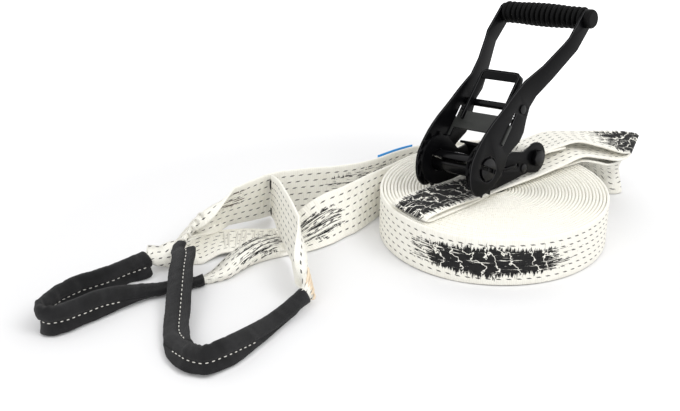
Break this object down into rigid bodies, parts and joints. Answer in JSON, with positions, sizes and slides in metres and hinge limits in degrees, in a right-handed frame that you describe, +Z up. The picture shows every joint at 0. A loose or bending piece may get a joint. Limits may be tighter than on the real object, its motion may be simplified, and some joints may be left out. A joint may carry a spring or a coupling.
{
  "type": "slackline set",
  "caption": "Slackline set: wound flat webbing line and ratchet strap, each with a sleeved end loop, and a long lever ratchet lying on the roll.",
  "frame": {"origin": "middle of the roll's flat underside, on the surface that everything lies on", "axes": "+Z up, out of the roll's upper side; the loops lie towards -X; the ratchet's spool axis runs level to -Y and +X"},
  "size_m": [0.6087, 0.4276, 0.222],
  "materials": {
    "webbing": "woven polyester, ivory",
    "sleeve_cloth": "dense black weave",
    "label_cloth": "smooth woven tape, blue",
    "black_steel": "satin black paint",
    "grip_rubber": "matte ribbed rubber"
  },
  "bodies": {
    "straps": {"main_line_roll": "webbing", "main_line_core": "webbing", "main_line_tail": "webbing", "main_line_loop_end": "webbing", "main_loop_sleeve": "sleeve_cloth", "ratchet_strap_pile": "webbing", "ratchet_strap_run": "webbing", "ratchet_strap_loop_end": "webbing", "ratchet_loop_sleeve": "sleeve_cloth", "strap_label": "label_cloth"},
    "ratchet_frame": {"frame_plate_near": "black_steel", "frame_plate_far": "black_steel", "frame_tie_rod": "black_steel", "anchor_bolt": "black_steel", "anchor_nut": "black_steel", "anchor_spacer": "black_steel", "lock_pawl_spring_near": "black_steel", "lock_pawl_spring_far": "black_steel"},
    "spool": {"spool_bar_upper": "black_steel", "spool_bar_lower": "black_steel", "ratchet_wheel_near": "black_steel", "ratchet_wheel_far": "black_steel", "spool_bush_near": "black_steel", "spool_bush_far": "black_steel", "spool_pin_near": "black_steel", "spool_pin_far": "black_steel"},
    "handle": {"handle_plate_near": "black_steel", "handle_plate_far": "black_steel", "handle_cross_rod": "black_steel", "grip_rod": "black_steel", "grip_sleeve": "grip_rubber", "grip_end_cap_near": "grip_rubber", "grip_end_cap_far": "grip_rubber", "drive_pawl_spring_near": "black_steel", "drive_pawl_spring_far": "black_steel"},
    "drive_pawl": {"drive_pawl": "black_steel"},
    "lock_pawl": {"lock_pawl": "black_steel"}
  },
  "joints": [
    {"name": "frame_swing", "type": "hinge", "parent": "straps", "child": "ratchet_frame", "pos_m": [0.02333, 0.04252, 0.07148], "axis": [-0.7033, 0.6984, -0.1323], "range_deg": [0, 40]},
    {"name": "handle_swing", "type": "hinge", "parent": "ratchet_frame", "child": "handle", "pos_m": [-0.03787, -0.01658, 0.08483], "axis": [0.7033, -0.6984, 0.1323], "range_deg": [-26, 130]},
    {"name": "spool_spin", "type": "hinge", "parent": "ratchet_frame", "child": "spool", "pos_m": [-0.03787, -0.01658, 0.08483], "axis": [0.7033, -0.6984, 0.1323], "continuous": true},
    {"name": "drive_pawl_slide", "type": "slide", "parent": "handle", "child": "drive_pawl", "axis": [0.425, 0.5623, 0.7094], "range_m": [0, 0.007], "stiffness_N_per_m": 400, "springref_m": -0.006, "deforming": ["drive_pawl_spring_near", "drive_pawl_spring_far"]},
    {"name": "lock_pawl_slide", "type": "slide", "parent": "ratchet_frame", "child": "lock_pawl", "axis": [0.7106, 0.6959, -0.1036], "range_m": [0, 0.0055], "stiffness_N_per_m": 400, "springref_m": -0.006, "deforming": ["lock_pawl_spring_near", "lock_pawl_spring_far"]}
  ]
}
